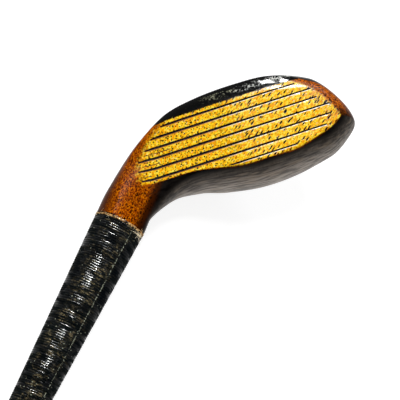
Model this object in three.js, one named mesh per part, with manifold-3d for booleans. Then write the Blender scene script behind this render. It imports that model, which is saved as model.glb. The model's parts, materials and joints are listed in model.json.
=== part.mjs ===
// A hickory golf wood with a splice neck: wooden head, horn slip, shaft, neck whipping and leather grip.
// Millimetres and degrees. The club lies face up on its back, with +Z up and the head toward +X.
import * as THREE from 'three';
import { mergeVertices } from 'three/addons/utils/BufferGeometryUtils.js';
import Module from 'manifold-3d';

const wasm = await Module();
wasm.setup();

// Fits between pieces
const glueGap = 0.3;
const weldDistance = 0.0001;
const cutOverrun = 8;

// Head block: heel to toe, sole to crown, face to back
const headLength = 100;
const headHeight = 40;
const headDepth = 56;
const loftDegrees = 16;
const leadingEdgeHeight = 3.4;
const soleFlatDrop = 0.35;
const crownRoundness = 2.3;
const soleRoundness = 3;
const neckRoundness = 2;

// Neck: where its whipped end stands from the head's middle, and the lie of the shaft line
const lieDegrees = 48;
const neckReach = 66;
const neckHeight = 43.2;
const neckSetBack = 15;
const neckRadius = 10.5;
const heelSwell = 1.3;
const heelRun = 11;
const neckLead = 14;

// Run-out of the flat face into the heel
const runOutStart = 33.5;
const runOutRadius = 17;
const runOutSlantDegrees = 19;
const runOutSteps = 8;

// Face scoring: the first line above the sole, then one line a pitch
const scoreFirstHeight = 11.1;
const scorePitch = 4.04;
const scoreWidth = 0.9;
const scoreDepth = 0.5;
// Heel and toe end of each line, as shares of the head's length from its middle
const scoreEndShares = [
  [-0.37, 0.233],
  [-0.427, 0.291],
  [-0.464, 0.306],
  [-0.506, 0.348],
  [-0.518, 0.337],
  [-0.514, 0.31],
  [-0.133, 0.165],
];

// Horn slip let into the sole behind the leading edge, and its pegs
const hornThickness = 9;
const hornDepth = 12;
const pegRadius = 2;
const pegDepth = 15;
const pegSetBack = 7.5;
const pegSpacing = 19;

// Lead weight run into the back of the head
const weightRadius = 10.5;
const weightDepth = 15;
const weightHeight = 18.5;
const weightReach = 2;

// Splice under the neck whipping
const spliceLength = 114;
const spliceStart = 5;
const spliceTip = 1.5;
const whippingNeckRadius = 11.2;
const whippingTopRadius = 7;

// Neck winding: single turns at the head end, then turns run together in pitch
const threadDiameter = 0.85;
const threadSeatGap = 0.25;
const threadPitch = 1.35;
const threadLoops = 24;
const threadBend = 1;
const threadSteps = 20;
const threadSides = 5;
const bendSteps = 3;

// Shaft, measured along its line from the neck's whipped end
const shaftButt = 1012;
const shaftTopRadius = 6.4;
const shaftGripRadius = 8.2;
const shaftButtRadius = 9.8;
const buttRound = 2;

// Grip: cloth underlisting, one wound strip of leather, a whipping at each end
const gripLength = 285;
const underlistingThickness = 1;
const leatherThickness = 1.4;
const leatherLap = 0.6;
const leatherPitch = 20;
const spareTurns = 2;
const skiveThickness = 1;
const gripWhippingLength = 13;
const gripWhippingThickness = 0.9;
const gripEndSetBack = 3;
// Strip profile across one pitch: place and height, as shares of the pitch and of the lap
const leatherPlaceShares = [0, 0.5, 0.95];
const leatherHeightShares = [1, 0.45, 0];

// Tacks that hold the two ends of the strip
const tackShankRadius = 0.6;
const tackHeadRadius = 1.9;
const tackHeadHeight = 0.8;
const tackReach = 4;
const tackSetOff = 5;

// How the club lies: rolled about its shaft line onto the back of the head
const lyingRollDegrees = -48;
const levelPasses = 4;

// Facets
const headSides = 44;
const headSteps = 6;
const toeSteps = 8;
const turnedSides = 32;
const gripSides = 24;
const pegSides = 20;
const weightSides = 32;
const tackSides = 12;

// Head sections from toe to heel. Along the head: place of the spine in shares of the length, then
// its height, the rise to the crown and the drop to the sole in shares of the height, then the
// middle, the reach to the face and the reach to the back in shares of the depth.
const headSectionShares = [
  [0.44, 0.71, 0.15, 0.22, -0.39, 0.33, 0.24],
  [0.3, 0.55, 0.37, 0.4, -0.39, 0.35, 0.46],
  [0.14, 0.485, 0.48, 0.47, -0.43, 0.5, 0.55],
  [-0.02, 0.465, 0.51, 0.485, -0.43, 0.5, 0.57],
  [-0.18, 0.47, 0.45, 0.46, -0.43, 0.52, 0.51],
  [-0.31, 0.53, 0.36, 0.45, -0.39, 0.48, 0.42],
  [-0.44, 0.635, 0.315, 0.36, -0.32, 0.32, 0.33],
];
// Sections between which the spine's normal turns from upright to square with the spine
const turnSections = [3.5, 5.5];
const roundSections = [4, 7];
const spineStep = 0.001;

const radians = THREE.MathUtils.degToRad;
const loftSlope = Math.tan(radians(loftDegrees));
const lieCos = Math.cos(radians(lieDegrees));
const lieSin = Math.sin(radians(lieDegrees));

// Solids from geometries: turns a closed geometry's faces outward
function outward(geometry) {
  const place = geometry.getAttribute('position');
  const index = geometry.getIndex().array;
  const [a, b, c] = [new THREE.Vector3(), new THREE.Vector3(), new THREE.Vector3()];
  let volume = 0;
  for (let i = 0; i < index.length; i += 3) {
    a.fromBufferAttribute(place, index[i]);
    b.fromBufferAttribute(place, index[i + 1]);
    c.fromBufferAttribute(place, index[i + 2]);
    volume += a.dot(b.cross(c));
  }
  if (volume < 0) {
    for (let i = 0; i < index.length; i += 3) {
      [index[i + 1], index[i + 2]] = [index[i + 2], index[i + 1]];
    }
  }
  return geometry;
}

// Keeps only places, shared between faces
function welded(geometry) {
  geometry.deleteAttribute('normal');
  geometry.deleteAttribute('uv');
  return outward(mergeVertices(geometry, weldDistance));
}

function solid(geometry) {
  const closed = welded(geometry);
  const vertProperties = new Float32Array(closed.getAttribute('position').array);
  const triVerts = new Uint32Array(closed.getIndex().array);
  const mesh = new wasm.Mesh({ numProp: 3, vertProperties, triVerts });
  mesh.merge();
  return new wasm.Manifold(mesh);
}

function geometryOf(body) {
  const mesh = body.getMesh();
  const geometry = new THREE.BufferGeometry();
  geometry.setAttribute('position', new THREE.BufferAttribute(mesh.vertProperties, mesh.numProp));
  geometry.setIndex(new THREE.BufferAttribute(mesh.triVerts, 1));
  return geometry;
}

// A closed skin over rings of equal count, with a fan at each end to a point
function skin(rings, firstPoint, lastPoint) {
  const sides = rings[0].length;
  const places = [firstPoint, ...rings.flat(), lastPoint];
  const faces = [];
  const last = places.length - 1;
  const at = (ring, side) => 1 + ring * sides + (side % sides);
  for (let side = 0; side < sides; side += 1) {
    faces.push(0, at(0, side), at(0, side + 1));
    faces.push(last, at(rings.length - 1, side + 1), at(rings.length - 1, side));
    for (let ring = 0; ring < rings.length - 1; ring += 1) {
      faces.push(at(ring, side), at(ring + 1, side), at(ring, side + 1));
      faces.push(at(ring, side + 1), at(ring + 1, side), at(ring + 1, side + 1));
    }
  }
  const geometry = new THREE.BufferGeometry().setFromPoints(places);
  geometry.setIndex(faces);
  return outward(geometry);
}

// A box given by its two corners
function box(low, high) {
  const size = new THREE.Vector3().subVectors(high, low);
  const middle = new THREE.Vector3().addVectors(low, high).multiplyScalar(0.5);
  return new THREE.BoxGeometry(size.x, size.y, size.z).translate(middle.x, middle.y, middle.z);
}

// A turned solid on the shaft line: profile points are (place along the line, radius)
function turned(profile, sides = turnedSides) {
  const points = profile.map(([along, radius]) => new THREE.Vector2(radius, along));
  return new THREE.LatheGeometry(points, sides).rotateZ(-Math.PI / 2);
}

// Head frame: +X toe, +Y target, +Z up, the sole at zero height.
// Shaft frame: +X up the shaft, +Y crown side, +Z target, from the neck's whipped end.
const shaftDirection = new THREE.Vector3(-lieCos, 0, lieSin);
const crownDirection = new THREE.Vector3(lieSin, 0, lieCos);
const neckEnd = new THREE.Vector3(-neckReach, -neckSetBack, neckHeight);
const shaftToHead = new THREE.Matrix4()
  .makeBasis(shaftDirection, crownDirection, new THREE.Vector3(0, 1, 0))
  .setPosition(neckEnd);
const headToShaft = shaftToHead.clone().invert();

// Head body
function neckSection(along, radius) {
  const centre = neckEnd.clone().addScaledVector(shaftDirection, along);
  return [centre.x, centre.z, radius, radius, centre.y, radius, radius];
}

const headSections = headSectionShares.map(([run, height, crown, sole, middle, face, back]) => [
  run * headLength,
  height * headHeight,
  crown * headHeight,
  sole * headHeight,
  middle * headDepth,
  face * headDepth,
  back * headDepth,
]);
headSections.push(neckSection(-heelRun, neckRadius + heelSwell));
headSections.push(neckSection(0, neckRadius));
headSections.push(neckSection(neckLead, neckRadius));

// A smooth curve through the sections, column by column
function sectionAt(place) {
  const count = headSections.length;
  const start = Math.min(Math.max(Math.floor(place), 0), count - 2);
  const part = place - start;
  const row = (i) => {
    if (i < 0) {
      return headSections[0].map((value, c) => 2 * value - headSections[1][c]);
    }
    if (i > count - 1) {
      return headSections[count - 1].map((value, c) => 2 * value - headSections[count - 2][c]);
    }
    return headSections[i];
  };
  const [before, from, to, after] = [row(start - 1), row(start), row(start + 1), row(start + 2)];
  return from.map((value, c) => {
    const slope = to[c] - before[c];
    const bend = 2 * before[c] - 5 * value + 4 * to[c] - after[c];
    const twist = 3 * value - before[c] - 3 * to[c] + after[c];
    return value + 0.5 * part * (slope + part * (bend + part * twist));
  });
}

const roundPower = (value, power) => Math.sign(value) * Math.abs(value) ** (2 / power);

// One ring of the head, at a place counted in sections
function headRing(place) {
  const [x, z, crown, sole, middle, face, back] = sectionAt(place);
  const [x0, z0] = sectionAt(Math.max(place - spineStep, 0));
  const [x1, z1] = sectionAt(place + spineStep);
  const square = new THREE.Vector2(z1 - z0, x0 - x1).normalize();
  const turn = THREE.MathUtils.smoothstep(place, turnSections[0], turnSections[1]);
  const up = new THREE.Vector2(0, 1).lerp(square, turn).normalize();
  const neckShare = THREE.MathUtils.clamp(
    (place - roundSections[0]) / (roundSections[1] - roundSections[0]), 0, 1);
  const crownPower = THREE.MathUtils.lerp(crownRoundness, neckRoundness, neckShare);
  const solePower = THREE.MathUtils.lerp(soleRoundness, neckRoundness, neckShare);
  const size = place < 1 ? Math.sqrt(1 - (1 - place) ** 2) : 1;
  const ring = [];
  for (let side = 0; side < headSides; side += 1) {
    const angle = (side / headSides) * 2 * Math.PI;
    const [across, rise] = [Math.cos(angle), Math.sin(angle)];
    const power = rise > 0 ? crownPower : solePower;
    const y = middle + size * (across > 0 ? face : back) * roundPower(across, power);
    const height = size * (rise > 0 ? crown : sole) * roundPower(rise, power);
    ring.push(new THREE.Vector3(x + up.x * height, y, z + up.y * height));
  }
  return ring;
}

function headBody() {
  const neckPlace = headSections.length - 2;
  const rings = [];
  for (let step = 1; step < toeSteps; step += 1) {
    rings.push(headRing(1 - Math.cos((step / toeSteps) * (Math.PI / 2))));
  }
  for (let step = headSteps; step <= neckPlace * headSteps; step += 1) {
    rings.push(headRing(step / headSteps));
  }
  const [toe] = headSections;
  const toeTip = new THREE.Vector3(toe[0], toe[4], toe[1]);
  return solid(skin(rings, toeTip, neckEnd));
}

// What the flat face takes away: a lofted plane that curves forward at the heel
function faceCutter() {
  const shape = new THREE.Shape();
  const far = headLength;
  shape.moveTo(far, 0);
  shape.lineTo(-runOutStart, 0);
  for (let step = 1; step <= runOutSteps; step += 1) {
    const run = (step / runOutSteps) * Math.sqrt(2 * runOutRadius * headDepth);
    shape.lineTo(-runOutStart - run, run ** 2 / (2 * runOutRadius));
  }
  shape.lineTo(far, headDepth);
  const height = neckHeight + headHeight;
  const slant = Math.tan(radians(runOutSlantDegrees));
  const lean = new THREE.Matrix4().makeShear(0, 0, 0, 0, -slant, -loftSlope);
  return solid(new THREE.ExtrudeGeometry(shape, { depth: height + cutOverrun, bevelEnabled: false })
    .translate(0, 0, -cutOverrun)
    .applyMatrix4(lean)
    .translate(0, leadingEdgeHeight * loftSlope, 0));
}

// The face's y at a height
const faceAt = (height) => (leadingEdgeHeight - height) * loftSlope;

function scoreCutters() {
  return scoreEndShares.map(([heelShare, toeShare], line) => {
    const height = scoreFirstHeight + line * scorePitch;
    const heel = heelShare * headLength;
    const toe = toeShare * headLength;
    const cutter = box(
      new THREE.Vector3(heel, -scoreDepth, -scoreWidth / 2),
      new THREE.Vector3(toe, cutOverrun, scoreWidth / 2));
    cutter.rotateX(radians(loftDegrees));
    return solid(cutter.translate(0, faceAt(height), height));
  });
}

// The space below a height and in front of a depth behind the leading edge
function hornSpace(height, depth) {
  return solid(box(
    new THREE.Vector3(-headLength, -depth, -cutOverrun),
    new THREE.Vector3(headLength, headDepth, height)));
}

function pegSpace(x, radius, height) {
  return solid(new THREE.CylinderGeometry(radius, radius, height + cutOverrun, pegSides)
    .rotateX(Math.PI / 2)
    .translate(x, -pegSetBack, (height - cutOverrun) / 2));
}

function weightSpace(radius, depth) {
  return solid(new THREE.CylinderGeometry(radius, radius, depth + cutOverrun, weightSides)
    .translate(-weightReach, -headDepth + (depth - cutOverrun) / 2, weightHeight));
}

// Splice: what covers it, and the cone that the tongue and the shaft share
const coverThickness = threadDiameter + threadSeatGap;
const whippingRadius = (along) => THREE.MathUtils.lerp(
  whippingNeckRadius, whippingTopRadius, along / spliceLength);
const spliceRadius = (along) => whippingRadius(along) - coverThickness;

// One side of the slanting glue line: above it is the tongue, below it the shaft
function spliceSide(side) {
  const low = -spliceRadius(spliceStart) + spliceTip;
  const high = spliceRadius(spliceLength) - spliceTip;
  const slope = (high - low) / (spliceLength - spliceStart);
  const offset = side * (glueGap / 2) * Math.hypot(1, slope);
  const near = -cutOverrun - heelRun;
  const far = spliceLength + cutOverrun;
  const lineAt = (along) => low + slope * (along - spliceStart) + offset;
  const wide = side * 2 * whippingNeckRadius;
  const shape = new THREE.Shape();
  if (side > 0) {
    shape.moveTo(near, lineAt(spliceStart) - neckRadius);
    shape.lineTo(spliceStart, lineAt(spliceStart) - neckRadius);
    shape.lineTo(spliceStart, lineAt(spliceStart));
    shape.lineTo(spliceLength - glueGap, lineAt(spliceLength - glueGap));
    shape.lineTo(spliceLength - glueGap, wide);
    shape.lineTo(near, wide);
  } else {
    shape.moveTo(spliceStart + glueGap, wide);
    shape.lineTo(spliceStart + glueGap, lineAt(spliceStart + glueGap));
    shape.lineTo(spliceLength, lineAt(spliceLength));
    shape.lineTo(spliceLength, -wide);
    shape.lineTo(shaftButt + far, -wide);
    shape.lineTo(shaftButt + far, wide);
  }
  const depth = 2 * neckRadius + 2 * cutOverrun;
  return solid(new THREE.ExtrudeGeometry(shape, { depth, bevelEnabled: false })
    .translate(0, 0, -depth / 2));
}

function tongue() {
  return solid(turned([
    [-heelRun / 2, 0],
    [-heelRun / 2, spliceRadius(0)],
    [spliceLength, spliceRadius(spliceLength)],
    [spliceLength, 0],
  ])).intersect(spliceSide(1));
}

// Pieces on the shaft line
const gripEnd = shaftButt - gripEndSetBack;
const gripStart = gripEnd - gripLength;

function shaftRadius(along) {
  if (along < gripStart) {
    const share = (along - spliceLength) / (gripStart - spliceLength);
    return THREE.MathUtils.lerp(shaftTopRadius, shaftGripRadius, share);
  }
  const share = (along - gripStart) / (shaftButt - gripStart);
  return THREE.MathUtils.lerp(shaftGripRadius, shaftButtRadius, share);
}

function shaftTurning() {
  return solid(turned([
    [0, 0],
    [0, spliceRadius(0)],
    [spliceLength, spliceRadius(spliceLength)],
    [spliceLength, shaftRadius(spliceLength)],
    [gripStart, shaftRadius(gripStart)],
    [shaftButt - buttRound, shaftRadius(shaftButt - buttRound)],
    [shaftButt, shaftRadius(shaftButt) - buttRound],
    [shaftButt, 0],
  ]));
}

// A sleeve on the grip's taper: radii are measured outward from the shaft
function sleeve(start, end, inner, outer) {
  return turned([
    [start, shaftRadius(start) + inner],
    [start, shaftRadius(start) + outer],
    [end, shaftRadius(end) + outer],
    [end, shaftRadius(end) + inner],
    [start, shaftRadius(start) + inner],
  ]);
}

const leatherInner = glueGap + underlistingThickness + glueGap;
const skiveOuter = leatherInner + skiveThickness;
const leatherOuter = leatherInner + leatherThickness + leatherLap;

// The outside of the wound strip: each turn's edge laps over the turn before
function leatherSpiral() {
  const points = leatherPlaceShares.length;
  const turns = Math.ceil(gripLength / leatherPitch) + 2 * spareTurns;
  const rows = turns * points;
  const places = [];
  for (let side = 0; side < gripSides; side += 1) {
    const angle = (side / gripSides) * 2 * Math.PI;
    for (let row = 0; row <= rows; row += 1) {
      const place = Math.floor(row / points) + leatherPlaceShares[row % points];
      const along = gripStart + leatherPitch * (place - spareTurns + side / gripSides);
      const lap = leatherLap * leatherHeightShares[row % points];
      const radius = shaftRadius(along) + leatherInner + leatherThickness + lap;
      places.push(new THREE.Vector3(along, radius * Math.cos(angle), radius * Math.sin(angle)));
    }
  }
  const at = (side, row) => (side === gripSides ? row + points : side * (rows + 1) + row);
  const faces = [];
  for (let side = 0; side < gripSides; side += 1) {
    const lastRow = side === gripSides - 1 ? rows - points : rows;
    for (let row = 0; row < lastRow; row += 1) {
      faces.push(at(side, row), at(side, row + 1), at(side + 1, row));
      faces.push(at(side + 1, row), at(side, row + 1), at(side + 1, row + 1));
    }
  }
  const lowLoop = [];
  const highLoop = [];
  for (let side = 0; side <= gripSides; side += 1) {
    lowLoop.push(at(side, 0));
    if (side < gripSides) {
      highLoop.push(at(side, rows));
    }
  }
  for (let row = points - 1; row > 0; row -= 1) {
    lowLoop.push(at(0, row));
  }
  for (let row = 1; row <= points; row += 1) {
    highLoop.push(at(gripSides - 1, rows - row));
  }
  const lowPoint = places.push(new THREE.Vector3(gripStart - spareTurns * leatherPitch, 0, 0)) - 1;
  const highPoint = places.push(new THREE.Vector3(gripEnd + spareTurns * leatherPitch, 0, 0)) - 1;
  lowLoop.forEach((place, i) => {
    faces.push(lowPoint, place, lowLoop[(i + 1) % lowLoop.length]);
  });
  highLoop.forEach((place, i) => {
    faces.push(highPoint, highLoop[(i + 1) % highLoop.length], place);
  });
  const geometry = new THREE.BufferGeometry().setFromPoints(places);
  geometry.setIndex(faces);
  return solid(geometry);
}

// The room that the leather keeps to: its bore, its ends, and the thin skived ends under the thread
function leatherRoom() {
  const skiveEnd = gripStart + gripWhippingLength;
  const skiveStart = gripEnd - gripWhippingLength;
  const wide = leatherOuter + cutOverrun;
  return solid(turned([
    [gripStart, shaftRadius(gripStart) + leatherInner],
    [gripStart, shaftRadius(gripStart) + skiveOuter],
    [skiveEnd, shaftRadius(skiveEnd) + skiveOuter],
    [skiveEnd, shaftRadius(skiveEnd) + wide],
    [skiveStart, shaftRadius(skiveStart) + wide],
    [skiveStart, shaftRadius(skiveStart) + skiveOuter],
    [gripEnd, shaftRadius(gripEnd) + skiveOuter],
    [gripEnd, shaftRadius(gripEnd) + leatherInner],
    [gripStart, shaftRadius(gripStart) + leatherInner],
  ]));
}

// Tacks stand square on the crown side of the grip
const tackPlaces = {
  lower: gripStart + gripWhippingLength + tackSetOff,
  butt: gripEnd - gripWhippingLength - tackSetOff,
};

function tack(along) {
  const seat = shaftRadius(along) + leatherOuter + glueGap;
  const tip = shaftRadius(along) - tackReach;
  return new THREE.LatheGeometry([
    new THREE.Vector2(0, tip),
    new THREE.Vector2(tackShankRadius, tip + 2 * tackShankRadius),
    new THREE.Vector2(tackShankRadius, seat),
    new THREE.Vector2(tackHeadRadius, seat),
    new THREE.Vector2(tackHeadRadius * Math.SQRT1_2, seat + tackHeadHeight * Math.SQRT1_2),
    new THREE.Vector2(0, seat + tackHeadHeight),
  ], tackSides).translate(along, 0, 0);
}

function tackHole(along) {
  const top = shaftRadius(along) + leatherOuter + cutOverrun;
  const bottom = shaftRadius(along) - tackReach - glueGap;
  const radius = tackShankRadius + glueGap;
  return solid(new THREE.CylinderGeometry(radius, radius, top - bottom, tackSides)
    .translate(along, (top + bottom) / 2, 0));
}

function drilled(body) {
  return Object.values(tackPlaces).reduce((left, along) => left.subtract(tackHole(along)), body);
}

// Neck winding: places of the thread's middle as (angle, along), with a straight run at each end
function threadRoute() {
  const start = glueGap + threadDiameter;
  const turnsStart = start + threadBend;
  const turnsEnd = turnsStart + threadLoops * threadPitch;
  const route = [[0, glueGap]];
  const firstRadius = spliceRadius(turnsStart) + coverThickness;
  const lastRadius = spliceRadius(turnsEnd) + coverThickness;
  for (let step = 0; step < bendSteps; step += 1) {
    const bend = (step / bendSteps) * (Math.PI / 2);
    const angle = (threadBend * (1 - Math.cos(bend))) / firstRadius;
    route.push([angle, start + threadBend * Math.sin(bend)]);
  }
  const firstAngle = threadBend / firstRadius;
  const steps = threadLoops * threadSteps;
  for (let step = 0; step <= steps; step += 1) {
    const turns = (step / steps) * threadLoops;
    route.push([firstAngle + turns * 2 * Math.PI, turnsStart + turns * threadPitch]);
  }
  const lastAngle = firstAngle + threadLoops * 2 * Math.PI;
  for (let step = 1; step <= bendSteps; step += 1) {
    const bend = (step / bendSteps) * (Math.PI / 2);
    const angle = lastAngle + (threadBend * Math.sin(bend)) / lastRadius;
    route.push([angle, turnsEnd + threadBend * (1 - Math.cos(bend))]);
  }
  const [endAngle, endAlong] = route[route.length - 1];
  route.push([endAngle, endAlong + threadDiameter]);
  return route;
}

function threadPoint([angle, along]) {
  const radius = spliceRadius(along) + threadSeatGap + threadDiameter / 2;
  return new THREE.Vector3(along, radius * Math.cos(angle), radius * Math.sin(angle));
}

// The least clear distance between turns, on the route's points and the middles between them
function leastGap(points) {
  const places = points.flatMap((point, i) => (
    i ? [points[i - 1].clone().lerp(point, 0.5), point] : [point]));
  let least = Infinity;
  for (let i = 0; i < places.length; i += 1) {
    for (let j = i + threadSteps; j < places.length; j += 1) {
      least = Math.min(least, places[i].distanceTo(places[j]));
    }
  }
  return least - threadDiameter;
}

function winding() {
  const points = threadRoute().map(threadPoint);
  console.log(`neck winding: least gap to itself ${leastGap(points).toFixed(2)} mm`);
  const rings = points.map((point, i) => {
    const back = points[Math.max(i - 1, 0)];
    const ahead = points[Math.min(i + 1, points.length - 1)];
    const tangent = new THREE.Vector3().subVectors(ahead, back).normalize();
    const out = new THREE.Vector3(0, point.y, point.z);
    out.addScaledVector(tangent, -out.dot(tangent)).normalize();
    const side = new THREE.Vector3().crossVectors(tangent, out);
    return Array.from({ length: threadSides }, (_, k) => {
      const angle = (k / threadSides) * 2 * Math.PI;
      return point.clone()
        .addScaledVector(out, (threadDiameter / 2) * Math.cos(angle))
        .addScaledVector(side, (threadDiameter / 2) * Math.sin(angle));
    });
  });
  return skin(rings, points[0], points[points.length - 1]);
}

const threadEnd = glueGap + 2 * (threadDiameter + threadBend) + threadLoops * threadPitch;

function pitchedSleeve() {
  const start = threadEnd + glueGap;
  const wall = coverThickness - glueGap;
  return turned([
    [start, whippingRadius(start) - wall],
    [start, whippingRadius(start)],
    [spliceLength - wall - glueGap, whippingRadius(spliceLength - wall)],
    [spliceLength - glueGap, whippingRadius(spliceLength) - wall / 2],
    [spliceLength - glueGap, whippingRadius(spliceLength) - wall],
    [start, whippingRadius(start) - wall],
  ]);
}

// The pieces
const cutHead = headBody()
  .subtract(faceCutter())
  .subtract(solid(box(
    new THREE.Vector3(-headLength, -2 * headDepth, -headHeight),
    new THREE.Vector3(headLength, headDepth, -soleFlatDrop))));

const pegPlaces = { heel: -pegSpacing, middle: 0, toe: pegSpacing };

function headPiece() {
  let body = cutHead.subtract(hornSpace(hornThickness, hornDepth));
  for (const cutter of scoreCutters()) {
    body = body.subtract(cutter);
  }
  for (const x of Object.values(pegPlaces)) {
    body = body.subtract(pegSpace(x, pegRadius + glueGap, pegDepth + glueGap));
  }
  body = body.subtract(weightSpace(weightRadius, weightDepth));
  const inShaftFrame = solid(geometryOf(body).applyMatrix4(headToShaft));
  return inShaftFrame.add(tongue());
}

function hornPiece() {
  let body = cutHead.intersect(hornSpace(hornThickness - glueGap, hornDepth - glueGap));
  for (const x of Object.values(pegPlaces)) {
    body = body.subtract(pegSpace(x, pegRadius + glueGap, pegDepth));
  }
  return body;
}

const dark = 0x15120f;
const finishes = {
  head: { color: 0xd98a1e, roughness: 0.35, metalness: 0 },
  horn: { color: 0x0d0c0c, roughness: 0.18, metalness: 0 },
  peg: { color: 0xb8935a, roughness: 0.6, metalness: 0 },
  lead: { color: 0x6c6f73, roughness: 0.5, metalness: 0.8 },
  hickory: { color: 0x9a6a38, roughness: 0.4, metalness: 0 },
  thread: { color: dark, roughness: 0.55, metalness: 0 },
  cloth: { color: 0x6f6650, roughness: 0.95, metalness: 0 },
  leather: { color: 0x3a2a1e, roughness: 0.8, metalness: 0 },
  steel: { color: 0x8d8f92, roughness: 0.4, metalness: 1 },
};

const pieces = new THREE.Group();

function addPiece(name, geometry, finish) {
  const mesh = new THREE.Mesh(welded(geometry), new THREE.MeshStandardMaterial(finishes[finish]));
  mesh.name = name;
  pieces.add(mesh);
}

addPiece('head', geometryOf(headPiece()), 'head');
addPiece('horn_slip', geometryOf(hornPiece()).applyMatrix4(headToShaft), 'horn');
for (const [name, x] of Object.entries(pegPlaces)) {
  const peg = cutHead.intersect(pegSpace(x, pegRadius, pegDepth));
  addPiece(`horn_peg_${name}`, geometryOf(peg).applyMatrix4(headToShaft), 'peg');
}
const backWeight = cutHead.intersect(weightSpace(weightRadius - glueGap, weightDepth - glueGap));
addPiece('back_weight', geometryOf(backWeight).applyMatrix4(headToShaft), 'lead');
addPiece('shaft', geometryOf(drilled(shaftTurning().intersect(spliceSide(-1)))), 'hickory');
addPiece('neck_whipping_thread', winding(), 'thread');
addPiece('neck_whipping_sleeve', pitchedSleeve(), 'thread');

const underlisting = sleeve(gripStart, gripEnd, glueGap, glueGap + underlistingThickness);
addPiece('grip_underlisting', geometryOf(drilled(solid(underlisting))), 'cloth');
addPiece('grip_leather', geometryOf(drilled(leatherSpiral().intersect(leatherRoom()))), 'leather');

const threadInner = skiveOuter + glueGap;
const threadOuter = threadInner + gripWhippingThickness;
const lowerEnd = gripStart + gripWhippingLength - glueGap;
const buttStart = gripEnd - gripWhippingLength + glueGap;
addPiece('grip_whipping_lower', sleeve(gripStart, lowerEnd, threadInner, threadOuter), 'thread');
addPiece('grip_whipping_butt', sleeve(buttStart, gripEnd, threadInner, threadOuter), 'thread');
for (const [name, along] of Object.entries(tackPlaces)) {
  addPiece(`grip_tack_${name}`, tack(along), 'steel');
}

// Laying the club down: turned so that the head points to +X, then rolled, then levelled
pieces.rotation.z = Math.PI;
const rolled = new THREE.Group();
rolled.rotation.x = radians(lyingRollDegrees);
rolled.add(pieces);
const club = new THREE.Group();
club.add(rolled);

function cornersOf(group) {
  group.updateMatrixWorld(true);
  const corners = [];
  group.traverse((mesh) => {
    if (mesh.isMesh) {
      const place = mesh.geometry.getAttribute('position');
      for (let i = 0; i < place.count; i += 1) {
        corners.push(new THREE.Vector3().fromBufferAttribute(place, i).applyMatrix4(mesh.matrixWorld));
      }
    }
  });
  return corners;
}

const lowest = (corners) => corners.reduce((low, corner) => (corner.z < low.z ? corner : low));

for (let pass = 0; pass < levelPasses; pass += 1) {
  const corners = cornersOf(club);
  const middle = new THREE.Box3().setFromPoints(corners).getCenter(new THREE.Vector3());
  const headLow = lowest(corners.filter((corner) => corner.x > middle.x));
  const buttLow = lowest(corners.filter((corner) => corner.x < middle.x));
  club.rotation.y += Math.atan2(headLow.z - buttLow.z, headLow.x - buttLow.x);
}

const bounds = new THREE.Box3().setFromPoints(cornersOf(club));
const centre = bounds.getCenter(new THREE.Vector3());
club.position.set(-centre.x, -centre.y, -bounds.min.z);

const golfWood = new THREE.Group();
golfWood.add(club);

export default golfWood;
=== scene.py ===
# Looks of a hickory golf wood with a splice neck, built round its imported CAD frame.
# Sizes are in millimetres until a mesh is made, where they become metres.
import itertools
import json
from math import ceil, cos, hypot, pi, radians, sin, sqrt, tan

import bmesh
import bpy
import numpy as np
from mathutils import Matrix, Vector
from mathutils.bvhtree import BVHTree

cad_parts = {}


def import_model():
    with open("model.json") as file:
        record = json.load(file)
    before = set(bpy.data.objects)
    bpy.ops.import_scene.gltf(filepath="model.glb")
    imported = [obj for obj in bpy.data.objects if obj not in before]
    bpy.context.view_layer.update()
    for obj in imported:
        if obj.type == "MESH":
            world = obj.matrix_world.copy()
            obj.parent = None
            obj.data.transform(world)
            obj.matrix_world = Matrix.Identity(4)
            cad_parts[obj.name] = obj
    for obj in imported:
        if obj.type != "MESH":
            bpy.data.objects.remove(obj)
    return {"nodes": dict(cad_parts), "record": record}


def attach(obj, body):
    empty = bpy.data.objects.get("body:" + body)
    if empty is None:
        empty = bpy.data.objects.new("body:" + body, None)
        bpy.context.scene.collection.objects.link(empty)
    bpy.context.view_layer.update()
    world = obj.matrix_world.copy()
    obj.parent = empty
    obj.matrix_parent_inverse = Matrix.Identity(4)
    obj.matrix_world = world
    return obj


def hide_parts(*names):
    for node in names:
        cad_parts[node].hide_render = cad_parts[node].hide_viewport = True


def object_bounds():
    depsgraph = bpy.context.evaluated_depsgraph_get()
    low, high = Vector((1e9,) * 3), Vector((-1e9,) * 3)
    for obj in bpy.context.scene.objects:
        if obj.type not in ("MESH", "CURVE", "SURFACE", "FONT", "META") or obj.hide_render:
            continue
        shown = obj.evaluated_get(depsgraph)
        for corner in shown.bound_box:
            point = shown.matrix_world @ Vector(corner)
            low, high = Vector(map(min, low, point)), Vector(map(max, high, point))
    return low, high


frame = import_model()
cad_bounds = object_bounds()

MM = 0.001
BODY = "root"

# Head block, the same sizes as the CAD source but for a neck that stands flush with its winding
# and face lines that are worn a little wider
HEAD_LENGTH = 100
HEAD_HEIGHT = 40
HEAD_DEPTH = 56
LOFT = radians(16)
LOFT_SLOPE = tan(LOFT)
LEADING_EDGE_HEIGHT = 3.4
SOLE_FLAT = -0.35
CROWN_ROUNDNESS = 2.3
SOLE_ROUNDNESS = 3
NECK_ROUNDNESS = 2
LIE = radians(48)
NECK_END = np.array([-66, -15, 43.2])
NECK_RADIUS = 11.1
HEEL_SWELL = 0.2
HEEL_RUN = 11
NECK_LEAD = 14
RUN_OUT_START = 33.5
RUN_OUT_RADIUS = 17
RUN_OUT_SLANT = tan(radians(19))

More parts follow.
